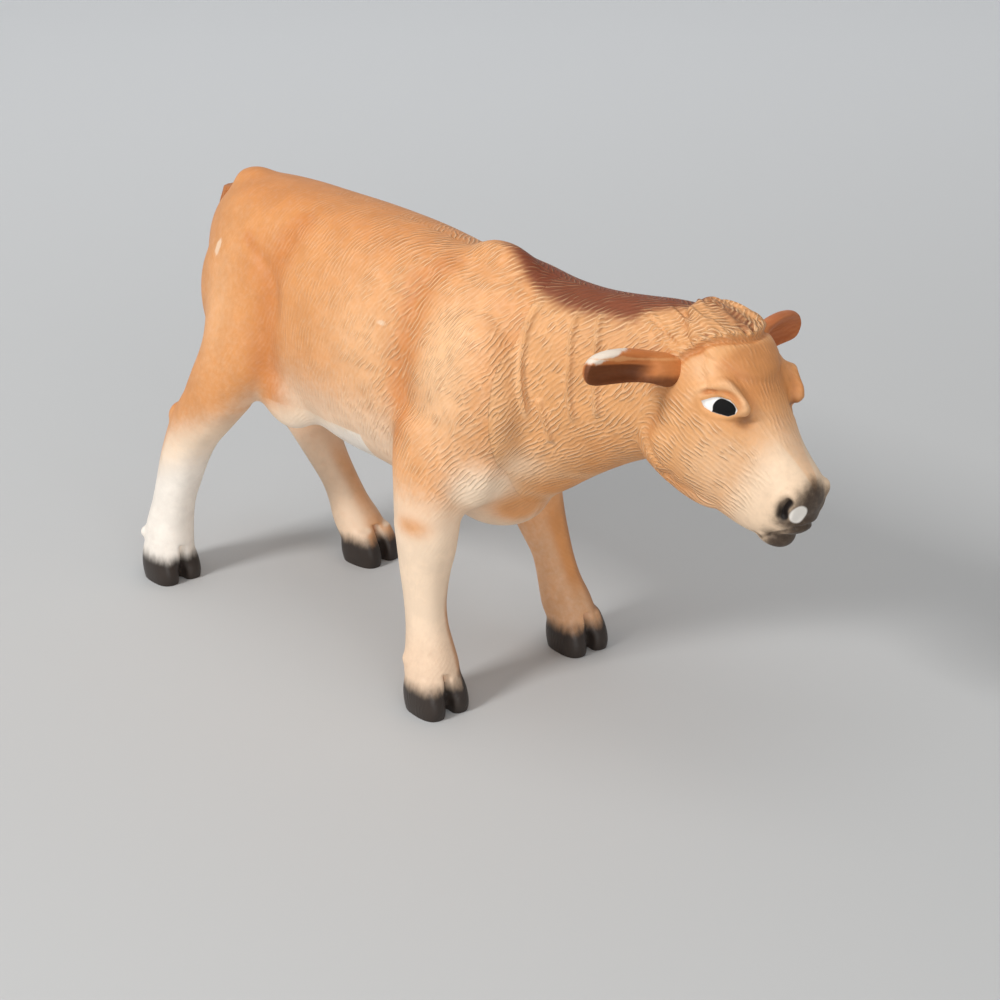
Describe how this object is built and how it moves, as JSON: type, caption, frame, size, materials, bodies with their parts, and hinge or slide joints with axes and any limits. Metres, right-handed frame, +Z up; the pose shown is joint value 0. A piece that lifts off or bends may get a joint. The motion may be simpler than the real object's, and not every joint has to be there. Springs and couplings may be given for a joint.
{
  "type": "toy calf figure",
  "caption": "Toy farm calf in hand-painted moulded plastic, tan with cream legs and dark hooves, walking with its head lowered and ears held out sideways",
  "frame": {"origin": "on the floor under the middle of the figure's bounding box", "axes": "+X is the way the calf walks and faces, +Y is its left side, +Z is up; the soles lie at z = 0"},
  "size_m": [0.0846, 0.0356, 0.0486],
  "materials": {
    "body": "painted satin",
    "head": "painted satin",
    "ear_right": "painted satin",
    "ear_left": "painted satin",
    "tail": "painted satin"
  },
  "bodies": {
    "root": {"body": "body", "head": "head", "ear_right": "ear_right", "ear_left": "ear_left", "tail": "tail"}
  },
  "joints": []
}
